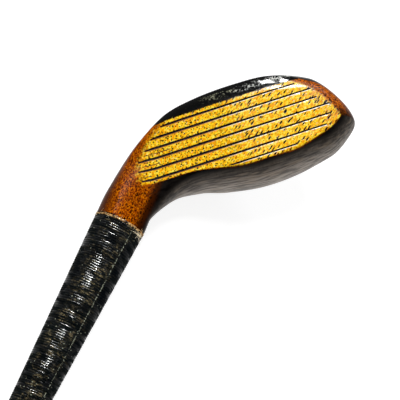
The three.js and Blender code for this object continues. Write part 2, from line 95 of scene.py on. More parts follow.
# Head sections from toe to heel: spine place in shares of the length; spine height, crown rise and
# sole drop in shares of the height; middle, face reach and back reach in shares of the depth
SECTION_SHARES = (
    (0.44, 0.71, 0.15, 0.22, -0.39, 0.33, 0.24),
    (0.3, 0.55, 0.37, 0.4, -0.39, 0.35, 0.46),
    (0.14, 0.485, 0.48, 0.47, -0.43, 0.5, 0.55),
    (-0.02, 0.465, 0.51, 0.485, -0.43, 0.5, 0.57),
    (-0.18, 0.47, 0.45, 0.46, -0.43, 0.52, 0.51),
    (-0.31, 0.53, 0.36, 0.45, -0.39, 0.48, 0.42),
    (-0.44, 0.635, 0.315, 0.36, -0.32, 0.32, 0.33),
)
TURN_SECTIONS = (3.5, 5.5)
ROUND_SECTIONS = (4, 7)
SPINE_STEP = 0.001

# Face scoring: height, heel end and toe end of each line; the last three are short stray cuts
SCORE_LINES = (
    (11.1, -37, 23.3), (15.14, -42.7, 29.1), (19.18, -46.4, 30.6), (23.22, -50.6, 34.8),
    (27.26, -51.8, 33.7), (31.3, -51.4, 31), (35.34, -13.3, 16.5),
)
STRAY_LINES = ((21.3, -47.4, -35.9), (25.6, -49.4, -41.7), (29.9, -51.2, -46.8))
SCORE_WIDTH = 1.1
SCORE_DEPTH = 0.5
STRAY_SHARE = 0.45
HEEL_FADE = 4
TOE_FADE = 60
HEEL_SHARE = 0.7
TOE_SHARE = 0.65
SCORE_LIP = (0.32, 0.12)

# Corner roundings of the block at places along X: reach up the face and reach under the sole, and
# the rounding at the crown
CORNER_PLACES = (-54, -46, -36, -30, 18, 27)
FACE_REACH = (6, 5.5, 4.4, 5.5, 5.5, 1.8)
SOLE_REACH = (6, 5, 3, 3.2, 3.2, 1.8)
CROWN_REACH = (4, 3, 1.2, 0.6, 0.6, 0.8)
CHORD_SHARE = 0.32
HORN_FLATNESS = 0.45
# Slight fall of the face toward the corner of toe and sole: a point on its start, and its radius
FACE_FALL_START = (19, 15)
FACE_FALL_RADIUS = 150

# Horn slip, pegs and lead
HORN_THICKNESS = 9
HORN_DEPTH = 12
PEG_RADIUS = 2
PEG_DEPTH = 15
PEG_SET_BACK = 7.5
PEG_PLACES = {"heel": -19, "middle": 0, "toe": 19}
WEIGHT_RADIUS = 10.5
WEIGHT_DEPTH = 15
WEIGHT_HEIGHT = 18.5
WEIGHT_REACH = 2
JOINT_GAP = 0.06
# How far a cutter stands out of the wood
SPARE = 5

# Splice and neck winding
SPLICE_LENGTH = 114
SPLICE_START = 5
SPLICE_TIP = 1.5
WHIPPING_RADII = (11.2, 7)
SPLICE_COVER = 1.1
THREAD_DIAMETER = 1
THREAD_PITCH = 1.03
THREAD_START = 0.6
THREAD_SIDES = 8
PITCH_BED_DEPTHS = (SPLICE_COVER - 0.05, 0.3)
RIDGE_ANGLE = radians(41)
RIDGE_WIDTH = radians(3.5)
RIDGE_HEIGHT = 0.3
THREAD_FLATNESS = 0.5
FRAY_SEED = 7
FRAY_FIBRES = 150
TUFT_FIBRES = 60
TUFT_ANGLE = radians(14)
FRAY_LENGTH = 0.75
TUFT_LENGTH = 1.5
FRAY_THICKNESS = 0.11
FRAY_STEPS = 4

# Shaft and grip
SHAFT_BUTT = 1012
SHAFT_TOP_RADIUS = 6.4
SHAFT_GRIP_RADIUS = 8.2
SHAFT_BUTT_RADIUS = 9.8
BUTT_ROUND = 2
GRIP_END = 1009
GRIP_START = GRIP_END - 285
LEATHER_INNER = 1.6
LEATHER_THICKNESS = 1.4
LEATHER_LAP = 0.6
LEATHER_PITCH = 20
# The strip's lap: places across it, and its height there. It is skived thin under the whippings
LAP_PROFILE = (
    (0, 0.02, 0.05, 0.1, 0.2, 0.35, 0.5, 0.65, 0.8, 0.9, 0.98, 1),
    (0, 0.75, 0.97, 1, 0.9, 0.72, 0.52, 0.36, 0.2, 0.1, 0.03, 0),
)
SKIVED_THICKNESS = 1
SKIVED_RUN = (-0.5, 1.5)
GRIP_WHIPPING_LENGTH = 13
GRIP_THREAD_INNER = 2.95
GRIP_THREAD_DIAMETER = 0.85
GRIP_THREAD_PITCH = GRIP_THREAD_DIAMETER * 1.02
TACK_PLACES = {"lower": GRIP_START + 18, "butt": GRIP_END - 18}
TACK_RADIUS = 1.9
TACK_HEIGHT = 0.8

# Camera, as the photograph shows the head
CAMERA_ABOVE_FACE = radians(22)
CAMERA_TURN = radians(17.8)
CAMERA_LENS = 150
CAMERA_SENSOR = 36
CAMERA_DISTANCE = 716.7
PHOTO_CENTRE = (-30.33, -19.94, 42.0)


def pose(x_axis, y_axis, z_axis, place=(0, 0, 0)):
    """A matrix from its three axes and its place in millimetres."""
    matrix = Matrix((x_axis, y_axis, z_axis)).transposed().to_4x4()
    matrix.translation = Vector(place) * MM
    return matrix


def frames():
    """Shaft frame and head frame in the row's frame, from the record's two mounts."""
    mounts = {mount["name"]: mount for mount in frame["record"]["mounts"]}
    up_shaft = Vector(mounts["butt_end"]["axis"]).normalized()
    up_head = -Vector(mounts["sole"]["axis"]).normalized()
    crown = ((up_head - up_shaft * sin(LIE)) / cos(LIE)).normalized()
    shaft = pose(up_shaft, crown, up_shaft.cross(crown))
    shaft.translation = Vector(mounts["butt_end"]["pos_m"]) - up_shaft * SHAFT_BUTT * MM
    lean = pose((-cos(LIE), sin(LIE), 0), (0, 0, 1), (sin(LIE), cos(LIE), 0))
    return shaft, shaft @ lean @ Matrix.Translation(-Vector(NECK_END) * MM)


SHAFT_FRAME, HEAD_FRAME = frames()


# Meshes

def smoothstep(value, low, high):
    share = np.clip((np.asarray(value, float) - low) / (high - low), 0, 1)
    return share * share * (3 - 2 * share)


def circle(sides):
    """Cosine and sine of even steps round a full turn."""
    angles = [2 * pi * side / sides for side in range(sides)]
    return [(cos(angle), sin(angle)) for angle in angles]


def add_object(name, data, matrix):
    new = bpy.data.objects.new(name, data)
    bpy.context.scene.collection.objects.link(new)
    new.matrix_world = matrix
    return new


def make_piece(name, points, faces, placed_in, sharp_degrees=40):
    """An object from points in millimetres, closed up and shaded smooth with sharp edges kept."""
    mesh = bpy.data.meshes.new(name)
    mesh.from_pydata([tuple(point) for point in np.asarray(points) * MM], [], faces)
    welder = bmesh.new()
    welder.from_mesh(mesh)
    bmesh.ops.remove_doubles(welder, verts=welder.verts, dist=0.002 * MM)
    bmesh.ops.dissolve_degenerate(welder, edges=welder.edges, dist=0.001 * MM)
    bmesh.ops.recalc_face_normals(welder, faces=welder.faces)
    welder.to_mesh(mesh)
    welder.free()
    piece = add_object(name, mesh, placed_in)
    shade(piece, sharp_degrees)
    return piece


def shade(piece, sharp_degrees):
    piece.data.shade_smooth()
    piece.data.set_sharp_from_angle(angle=radians(sharp_degrees))


def ring_faces(rings, sides, closed=False, caps=False):
    """Quads between equal rings of points, with a flat face at each end where caps is true."""
    faces = []
    for ring in range(rings if closed else rings - 1):
        low = ring * sides
        high = ((ring + 1) % rings) * sides
        for side in range(sides):
            after = (side + 1) % sides
            faces.append((low + side, low + after, high + after, high + side))
    if caps:
        faces.append(tuple(range(sides))[::-1])
        faces.append(tuple(range((rings - 1) * sides, rings * sides)))
    return faces


def turned(name, profile, placed_in, sides=96, closed=True, sharp_degrees=40):
    """A turned piece about the frame's X: profile points are (along, radius)."""
    points = [
        (along, radius * y, radius * z) for along, radius in profile for y, z in circle(sides)]
    faces = ring_faces(len(profile), sides, closed=closed, caps=not closed)
    return make_piece(name, points, faces, placed_in, sharp_degrees)


def cut(piece, cutter, operation="DIFFERENCE", sharp_degrees=40):
    """Applies a boolean and throws the cutter away. Cut faces keep the cutter's materials."""
    step = piece.modifiers.new("cut", "BOOLEAN")
    step.object = cutter
    step.operation = operation
    step.solver = "EXACT"
    step.material_mode = "TRANSFER"
    bpy.context.view_layer.update()
    graph = bpy.context.evaluated_depsgraph_get()
    result = bpy.data.meshes.new_from_object(piece.evaluated_get(graph), depsgraph=graph)
    piece.modifiers.clear()
    old, piece.data = piece.data, result
    bpy.data.meshes.remove(old)
    bpy.data.objects.remove(cutter)
    shade(piece, sharp_degrees)
    return piece


def part_of(piece, name, room):
    """What a piece and a cutter have in common, as a new piece."""
    twin = add_object(name, piece.data.copy(), piece.matrix_world.copy())
    return cut(twin, room, "INTERSECT")


def block(low, high, placed_in):
    """A box cutter from two corners."""
    corners = list(itertools.product(*zip(low, high)))
    faces = [(0, 1, 3, 2), (4, 6, 7, 5), (0, 4, 5, 1), (2, 3, 7, 6), (0, 2, 6, 4), (1, 5, 7, 3)]
    return make_piece("cutter", corners, faces, placed_in)


def rod(centre, axis, radius, length, placed_in, sides=64):
    """A round cutter along one axis of a frame."""
    points = []
    for end in (-0.5, 0.5):
        for first, second in circle(sides):
            place = [radius * first, radius * second]
            place.insert(axis, end * length)
            points.append(np.add(place, centre))
    return make_piece("cutter", points, ring_faces(2, sides, caps=True), placed_in)


# Head

def face_run(x, z):
    return np.maximum(0, -RUN_OUT_START - x - RUN_OUT_SLANT * z)


def face_surface(x, z):
    """The lofted face plane, which curves forward at the heel."""
    fall = np.maximum(0, 0.8 * (x - FACE_FALL_START[0]) - 0.6 * (z - FACE_FALL_START[1]))
    return ((LEADING_EDGE_HEIGHT - z) * LOFT_SLOPE + face_run(x, z) ** 2 / (2 * RUN_OUT_RADIUS)
            - fall ** 2 / (2 * FACE_FALL_RADIUS))


def neck_section(along, radius):
    return (
        NECK_END[0] - along * cos(LIE), NECK_END[2] + along * sin(LIE),
        radius, radius, NECK_END[1], radius, radius,
    )


SCALES = (HEAD_LENGTH, HEAD_HEIGHT, HEAD_HEIGHT, HEAD_HEIGHT, HEAD_DEPTH, HEAD_DEPTH, HEAD_DEPTH)
SECTIONS = np.array(
    [np.multiply(shares, SCALES) for shares in SECTION_SHARES]
    + [
        neck_section(-HEEL_RUN, NECK_RADIUS + HEEL_SWELL),
        neck_section(0, NECK_RADIUS),
        neck_section(NECK_LEAD, NECK_RADIUS),
    ]
)


def section_at(place):
    """A smooth curve through the sections."""
    rows = np.vstack([2 * SECTIONS[0] - SECTIONS[1], SECTIONS, 2 * SECTIONS[-1] - SECTIONS[-2]])
    start = min(max(int(place), 0), len(SECTIONS) - 2)
    part = place - start
    before, here, there, after = rows[start:start + 4]
    slope = there - before
    bend = 2 * before - 5 * here + 4 * there - after
    twist = 3 * here - before - 3 * there + after
    return here + 0.5 * part * (slope + part * (bend + part * twist))


OUTLINE_STEPS = 900
ARC_POINTS = 104
FACE_POINTS = 30
BEND_POINTS = 9


def bent(start, corner, end, flat=0.0):
    """Points round a corner; flat pulls the corner in toward the straight line between the ends."""
    corner = corner + flat * ((start + end) / 2 - corner)
    shares = np.linspace(0, 1, BEND_POINTS + 2)[1:-1]
    return [(1 - t) ** 2 * start + 2 * t * (1 - t) * corner + t * t * end for t in shares]


def head_ring(place):
    """One closed ring of the head block, cut by the face and rounded at its corners."""
    x, z, crown, sole, middle, face, back = section_at(place)
    x0, z0 = section_at(max(place - SPINE_STEP, 0))[:2]
    x1, z1 = section_at(place + SPINE_STEP)[:2]
    square = np.array([z1 - z0, x0 - x1]) / hypot(z1 - z0, x0 - x1)
    turn = smoothstep(place, *TURN_SECTIONS)
    up = np.array([0, 1]) * (1 - turn) + square * turn
    up /= np.linalg.norm(up)
    crown_power, sole_power = [
        np.interp(place, ROUND_SECTIONS, (roundness, NECK_ROUNDNESS))
        for roundness in (CROWN_ROUNDNESS, SOLE_ROUNDNESS)
    ]
    size = sqrt(1 - (1 - place) ** 2) if place < 1 else 1
    angle = np.linspace(-pi, pi, OUTLINE_STEPS + 1)
    across, rise = np.cos(angle), np.sin(angle)
    power = 2 / np.where(rise > 0, crown_power, sole_power)
    reach = size * np.where(across > 0, face, back) * np.sign(across) * abs(across) ** power
    height = size * np.where(rise > 0, crown, sole) * np.sign(rise) * abs(rise) ** power
    outline = np.stack([middle + reach, height], 1)

    def over(points):
        return points[:, 0] - face_surface(x + up[0] * points[:, 1], z + up[1] * points[:, 1])

    def crossing(i):
        step = outline[i + 1] - outline[i]
        return outline[i] + step * (proud[i] / (proud[i] - proud[i + 1]))

    proud = over(outline)
    peak = int(proud.argmax())
    first = last = peak
    low = high = outline[peak]
    if proud[peak] > 0:
        while proud[first - 1] > 0:
            first -= 1
        while proud[last + 1] > 0:
            last += 1
        low, high = crossing(first - 1), crossing(last)
    arc = np.vstack([[high], outline[last + 1:], outline[1:first], [low]])
    along = np.concatenate([[0], np.cumsum(np.linalg.norm(np.diff(arc, axis=0), axis=1))])
    chord = abs(high[1] - low[1])
    face_reach, sole_reach, crown_reach = [
        min(np.interp(x, CORNER_PLACES, reach), CHORD_SHARE * chord)
        for reach in (FACE_REACH, SOLE_REACH, CROWN_REACH)
    ]
    marks = np.linspace(crown_reach, along[-1] - sole_reach, ARC_POINTS)
    arc = np.stack([np.interp(marks, along, arc[:, i]) for i in (0, 1)], 1)
    face_points = []
    for height in np.linspace(low[1] + face_reach, high[1] - crown_reach, FACE_POINTS):
        depth = face_surface(x + up[0] * height, z + up[1] * height) if chord else low[0]
        face_points.append(np.array([depth, height]))
    ring = face_points + bent(face_points[-1], high, arc[0]) + list(arc)
    ring = np.array(ring + bent(arc[-1], low, face_points[0], HORN_FLATNESS))
    solid = np.stack([x + up[0] * ring[:, 1], ring[:, 0], z + up[1] * ring[:, 1]], 1)
    solid[:, 2] = np.maximum(solid[:, 2], SOLE_FLAT)
    return solid


def splice_radius(along):
    return np.interp(along, (0, SPLICE_LENGTH), WHIPPING_RADII) - SPLICE_COVER


def head_block(name):
    """The whole block with its neck and the full round of the splice, before any cut."""
    toe_steps, steps = 44, 22
    places = [1 - cos(step / toe_steps * pi / 2) for step in range(1, toe_steps)]
    places += [step / steps for step in range(steps, 8 * steps + 1)]
    rings = [head_ring(place) for place in places]
    neck = rings[-1] - NECK_END
    direction = np.array([-cos(LIE), 0, sin(LIE)])
    for along in (0, SPLICE_LENGTH):
        rings.append(NECK_END + neck * splice_radius(along) / NECK_RADIUS + direction * along)
    sides = len(rings[0])
    toe = SECTIONS[0]
    points = [np.array([toe[0], toe[4], toe[1]])] + [point for ring in rings for point in ring]
    points.append(NECK_END + direction * SPLICE_LENGTH)
    faces = [tuple(i + 1 for i in face) for face in ring_faces(len(rings), sides)]
    last = len(points) - 1
    for side in range(sides):
        after = (side + 1) % sides
        faces.append((0, 1 + after, 1 + side))
        faces.append((last, last - sides + side, last - sides + after))
    return make_piece(name, points, faces, HEAD_FRAME)


def splice_cutter(side):
    """What one side of the slanting glue line leaves out: +1 leaves the tongue, -1 the shaft."""
    low = -float(splice_radius(SPLICE_START)) + SPLICE_TIP
    high = float(splice_radius(SPLICE_LENGTH)) - SPLICE_TIP
    slope = (high - low) / (SPLICE_LENGTH - SPLICE_START)
    wide = 30
    lift = side * JOINT_GAP

    def line(along):
        return low + slope * (along - SPLICE_START) - lift

    far = SPLICE_LENGTH + SPARE
    if side > 0:
        start = SPLICE_START - JOINT_GAP
        outline = [(start, -wide), (start, line(start)), (far, line(far)), (far, -wide)]
    else:
        start, end = SPLICE_START, SPLICE_LENGTH
        outline = [(-SPARE, wide), (-SPARE, -wide), (start, -wide), (start, line(start)),
                   (end, line(end)), (end, wide)]
    points = [(along, rise, depth) for depth in (-wide, wide) for along, rise in outline]
    count = len(outline)
    return make_piece("cutter", points, ring_faces(2, count, caps=True), SHAFT_FRAME)


def horn_room(shrink=0):
    return block(
        (-HEAD_LENGTH, -HORN_DEPTH + shrink, -2 * SPARE),
        (HEAD_LENGTH, HEAD_DEPTH, HORN_THICKNESS - shrink), HEAD_FRAME)


def peg_room(x, radius):
    centre = (x, -PEG_SET_BACK, PEG_DEPTH / 2 - SPARE)
    return rod(centre, 2, radius, PEG_DEPTH + 2 * SPARE, HEAD_FRAME)


def weight_room(radius):
    centre = (-WEIGHT_REACH, -HEAD_DEPTH + WEIGHT_DEPTH / 2 - SPARE, WEIGHT_HEIGHT)
    return rod(centre, 1, radius, WEIGHT_DEPTH + 2 * SPARE, HEAD_FRAME)


FACE_NORMAL = np.array([0, cos(LOFT), sin(LOFT)])
FACE_UP = np.array([0, -FACE_NORMAL[2], FACE_NORMAL[1]])
SCORE_STATIONS = 70


def score_profile(share):
    """Outline of a cut across the line: (up the face, out of the face), with a worn upper lip."""
    half, depth = SCORE_WIDTH / 2 * share, SCORE_DEPTH * share
    lip, drop = SCORE_LIP[0] * share, SCORE_LIP[1] * share
    return (
        (-half, SCORE_WIDTH), (-0.86 * half, -0.8 * depth), (0, -depth),
        (0.8 * half, -0.8 * depth), (half, -drop), (half + lip, 0.1 * drop),
        (half + lip, SCORE_WIDTH),
    )


def score_cutter(wood, black, lip):
    """All the face lines as one cutter, each following the block's own surface."""
    tree = BVHTree.FromPolygons(
        [vertex.co for vertex in wood.data.vertices],
        [face.vertices for face in wood.data.polygons])
    points, faces, kinds = [], [], []
    lines = [(*line, 1) for line in SCORE_LINES] + [(*line, STRAY_SHARE) for line in STRAY_LINES]
    for z, heel, toe, size in lines:
        first = len(points)
        for x in np.linspace(heel, toe, SCORE_STATIONS):
            near = Vector((x, HEAD_DEPTH, z)) * MM
            surface = tree.ray_cast(near, Vector((0, -1, 0)))[0] / MM
            at_heel = HEEL_SHARE + (1 - HEEL_SHARE) * smoothstep(x, heel, heel + HEEL_FADE)
            at_toe = TOE_SHARE + (1 - TOE_SHARE) * (1 - smoothstep(x, toe - TOE_FADE, toe))
            share = size * float(at_heel * at_toe)
            for up, out in score_profile(share):
                points.append(np.array(surface) + FACE_UP * up + FACE_NORMAL * out)
        sides = len(score_profile(1))
        strip = ring_faces(SCORE_STATIONS, sides, caps=True)
        faces += [tuple(i + first for i in face) for face in strip]
        kinds += [int(i % sides == 4) for i in range(len(strip) - 2)] + [0, 0]
    cutter = make_piece("cutter", points, faces, HEAD_FRAME)
    cutter.data.materials.append(black)
    cutter.data.materials.append(lip)
    cutter.data.polygons.foreach_set("material_index", kinds)
    return cutter


def head_pieces(wood, black, lip):
    """The block divided into head, horn, pegs and lead, and the lines cut into its face."""
    head = head_block("head_wood")
    head.data.materials.append(wood)
    horn = part_of(head, "horn", horn_room(JOINT_GAP))
    pieces = {"head": head, "horn_slip": horn}
    for name, x in PEG_PLACES.items():
        pieces[f"horn_peg_{name}"] = part_of(head, f"peg_{name}", peg_room(x, PEG_RADIUS))
    pieces["back_weight"] = part_of(head, "lead", weight_room(WEIGHT_RADIUS - JOINT_GAP))
    scoring = score_cutter(head, black, lip)
    cut(head, horn_room())
    for x in PEG_PLACES.values():
        cut(head, peg_room(x, PEG_RADIUS + JOINT_GAP))
        cut(horn, peg_room(x, PEG_RADIUS + JOINT_GAP))
    cut(head, weight_room(WEIGHT_RADIUS))
    cut(head, splice_cutter(1))
    cut(head, scoring, sharp_degrees=24)
    return pieces


# Shaft line

def shaft_radius(along):
    return float(np.interp(
        along, (SPLICE_LENGTH, GRIP_START, SHAFT_BUTT),
        (SHAFT_TOP_RADIUS, SHAFT_GRIP_RADIUS, SHAFT_BUTT_RADIUS)))


def shaft_piece():
    end = shaft_radius(SHAFT_BUTT - BUTT_ROUND)
    profile = [
        (SPLICE_START + JOINT_GAP, 0.01),
        (SPLICE_START + JOINT_GAP, float(splice_radius(SPLICE_START))),
        (SPLICE_LENGTH, float(splice_radius(SPLICE_LENGTH))),
        (SPLICE_LENGTH, SHAFT_TOP_RADIUS),
        (GRIP_START, SHAFT_GRIP_RADIUS),
        (SHAFT_BUTT - BUTT_ROUND, end),
    ]
    for share in (0.25, 0.5, 0.75, 1):
        angle = share * pi / 2
        profile.append((
            SHAFT_BUTT - BUTT_ROUND * (1 - sin(angle)),
            end - BUTT_ROUND * (1 - cos(angle))))
    profile.append((SHAFT_BUTT, 0.01))
    return cut(turned("shaft_wood", profile, SHAFT_FRAME, closed=False), splice_cutter(-1))


def wound_thread(name, span, radius_at, diameter, pitch, steps, ridge=None, flatness=1):
    """One unbroken tube wound round the shaft line. radius_at gives the tube's middle."""
    start, end = span
    turns = (end - start) / pitch
    count = int(turns * steps)
    angle = np.linspace(0, 2 * pi * turns, count)
    along = start + pitch * angle / (2 * pi)
    radius = np.array([radius_at(place) for place in along])
    if ridge:
        middle, width, height = ridge
        off = (angle - middle + pi) % (2 * pi) - pi
        radius = radius + height * np.exp(-(off / width) ** 2)
    out = np.stack([np.zeros(count), np.cos(angle), np.sin(angle)], 1)
    path = out * radius[:, None]
    path[:, 0] = along
    tangent = np.gradient(path, axis=0)
    tangent /= np.linalg.norm(tangent, axis=1)[:, None]
    out -= tangent * (out * tangent).sum(1)[:, None]
    out /= np.linalg.norm(out, axis=1)[:, None]
    beside = np.cross(tangent, out)
    points = []
    for i in range(count):
        for rise, aside in circle(THREAD_SIDES):
            points.append(path[i] + diameter / 2 * (out[i] * rise * flatness + beside[i] * aside))
    faces = ring_faces(count, THREAD_SIDES, caps=True)
    return make_piece(name, points, faces, SHAFT_FRAME, 70)


def whipping_radius(along):
    return float(np.interp(along, (0, SPLICE_LENGTH), WHIPPING_RADII))


def neck_winding():
    start, end = THREAD_START, SPLICE_LENGTH - THREAD_START
    thread = wound_thread(
        "neck_thread", (start, end),
        lambda along: whipping_radius(along) - THREAD_DIAMETER / 2 * THREAD_FLATNESS,
        THREAD_DIAMETER, THREAD_PITCH, steps=60,
        ridge=(RIDGE_ANGLE, RIDGE_WIDTH, RIDGE_HEIGHT), flatness=THREAD_FLATNESS)
    inner, outer = PITCH_BED_DEPTHS
    corners = ((start, inner), (start, outer), (end, outer), (end, inner))
    profile = [(along, whipping_radius(along) - depth) for along, depth in corners]
    return thread, turned("neck_pitch_bed", profile, SHAFT_FRAME)


def frayed_end():
    """Loose fibres standing off the first turn of the winding, with a tuft on its crown side."""
    chance = np.random.default_rng(FRAY_SEED)
    points, faces = [], []
    for i in range(FRAY_FIBRES + TUFT_FIBRES):
        tuft = i >= FRAY_FIBRES
        angle = TUFT_ANGLE + 0.13 * chance.normal() if tuft else 2 * pi * chance.random()
        along = THREAD_START + (1.4 + 0.5 * chance.normal() if tuft else chance.uniform(-0.3, 0.9))
        out = np.array([0, cos(angle), sin(angle)])
        beside = np.array([0, -sin(angle), cos(angle)])
        place = out * (whipping_radius(max(along, 0)) - 0.15) + np.array([along, 0, 0])
        heading = beside * chance.normal() + np.array([chance.normal(), 0, 0]) + out * 0.2
        bend = out * chance.uniform(-0.3, 0.25) + beside * 0.5 * chance.normal()
        length = chance.uniform(0.5, 1.1) * (TUFT_LENGTH if tuft else FRAY_LENGTH)
        thick = FRAY_THICKNESS * chance.uniform(0.6, 1.3)
        first = len(points)
        faces += [tuple(j + first for j in face) for face in ring_faces(FRAY_STEPS, 4, caps=True)]
        aside = np.cross(out, heading) / np.linalg.norm(heading)
        for share in np.linspace(0, 1, FRAY_STEPS):
            middle = place + (heading * share + bend * share * share) * length
            for rise, run in circle(4):
                spoke = out * rise + aside * run
                points.append(middle + thick * (1 - 0.6 * share) * spoke)
    return make_piece("frayed_ends", points, faces, SHAFT_FRAME, 80)


def leather_grip():
    """One strip wound up the grip, each turn's edge lapping over the turn before."""
    steps = 72
    across, height = LAP_PROFILE
    turns = ceil((GRIP_END - GRIP_START) / LEATHER_PITCH) + 2
    rows = turns * len(across)
    points = []
    for side, (y, z) in enumerate(circle(steps)):
        for row in range(rows):
            place = row // len(across) - 1 + side / steps
            along = GRIP_START + LEATHER_PITCH * (place + across[row % len(across)])
            kept = min(max(along, GRIP_START), GRIP_END)
            inward = min(kept - GRIP_START, GRIP_END - kept) - GRIP_WHIPPING_LENGTH
            part = ((kept - GRIP_START) / LEATHER_PITCH - side / steps) % 1
            lap = height[row % len(across)] if kept == along else np.interp(part, across, height)
            full = LEATHER_THICKNESS + LEATHER_LAP * lap - SKIVED_THICKNESS
            radius = shaft_radius(kept) + LEATHER_INNER + SKIVED_THICKNESS
            radius += full * float(smoothstep(inward, *SKIVED_RUN))
            points.append((kept, radius * y, radius * z))
    low, high = len(points), len(points) + steps
    faces = []
    for side in range(steps):
        wrap = side == steps - 1
        for row in range(rows - 1):
            other = row + len(across) if wrap else row
            if other + 1 >= rows:
                continue
            a, b = side * rows + row, side * rows + row + 1
            c = (0 if wrap else (side + 1) * rows) + other
            faces.append((a, b, c + 1, c))
    for place in (GRIP_START, GRIP_END):
        radius = shaft_radius(place) + LEATHER_INNER
        points += [(place, radius * y, radius * z) for y, z in circle(steps)]
    for side in range(steps):
        after = (side + 1) % steps
        faces.append((low + side, low + after, high + after, high + side))
        faces.append((side * rows, after * rows, low + after, low + side))
        faces.append((side * rows + rows - 1, high + side, high + after, after * rows + rows - 1))
    return make_piece("leather_strip", points, faces, SHAFT_FRAME, 50)


def grip_threads():
    inner = GRIP_THREAD_INNER + GRIP_THREAD_DIAMETER / 2
    spans = {
        "lower": (GRIP_START + 0.5, GRIP_START + GRIP_WHIPPING_LENGTH - 0.6),
        "butt": (GRIP_END - GRIP_WHIPPING_LENGTH + 0.6, GRIP_END - 0.5),
    }
    return {
        name: wound_thread(
            f"grip_thread_{name}", span, lambda along: shaft_radius(along) + inner,
            GRIP_THREAD_DIAMETER, GRIP_THREAD_PITCH, steps=56)
        for name, span in spans.items()
    }


def tack(name, along):
    """A domed tack standing on the crown side of the grip."""
    seat = shaft_radius(along) + LEATHER_INNER + LEATHER_THICKNESS + LEATHER_LAP
    rim = seat + 0.05
    profile = [(seat - 3, 0.02), (seat - 3, 0.5), (rim, 0.6), (rim, TACK_RADIUS)]
    for share in (0.2, 0.4, 0.6, 0.8):
        angle = share * pi / 2
        profile.append((rim + TACK_HEIGHT * sin(angle), TACK_RADIUS * cos(angle)))
    profile.append((rim + TACK_HEIGHT, 0.01))
    upright = pose((0, 1, 0), (-1, 0, 0), (0, 0, 1), (along, 0, 0))
    return turned(name, profile, SHAFT_FRAME @ upright, sides=32, closed=False)


# Materials

class Value:
    """A number from a shader node, which takes part in sums as a plain number does."""

    def __init__(self, graph, socket):
        self.graph = graph
        self.socket = socket

    def __add__(self, other):
        return self.graph.math("ADD", self, other)

    def __sub__(self, other):
        return self.graph.math("SUBTRACT", self, other)

    def __rsub__(self, other):
        return self.graph.math("SUBTRACT", other, self)

    def __mul__(self, other):
        return self.graph.math("MULTIPLY", self, other)

    def __truediv__(self, other):
        return self.graph.math("DIVIDE", self, other)

    def __abs__(self):
        return self.graph.math("ABSOLUTE", self)


class Graph:
    """Short names for the shader nodes of one tree."""

    def __init__(self, tree):
        self.tree = tree

    def node(self, kind, values=(), **settings):
        """A new node with its settings made and its first inputs filled."""
        node = self.tree.nodes.new("ShaderNode" + kind)
        for name, setting in settings.items():
            setattr(node, name, setting)
        for socket, value in zip(node.inputs, values):
            self.put(socket, value)
        return node

    def put(self, socket, value):
        """Links a node's output to a socket, or sets a plain number, vector or colour on it."""
        if isinstance(value, Value):
            value = value.socket
        if isinstance(value, bpy.types.NodeSocket):
            self.tree.links.new(value, socket)
        else:
            socket.default_value = value

    def math(self, operation, *values, **settings):
        node = self.node("Math", values, operation=operation, **settings)
        return Value(self, node.outputs[0])


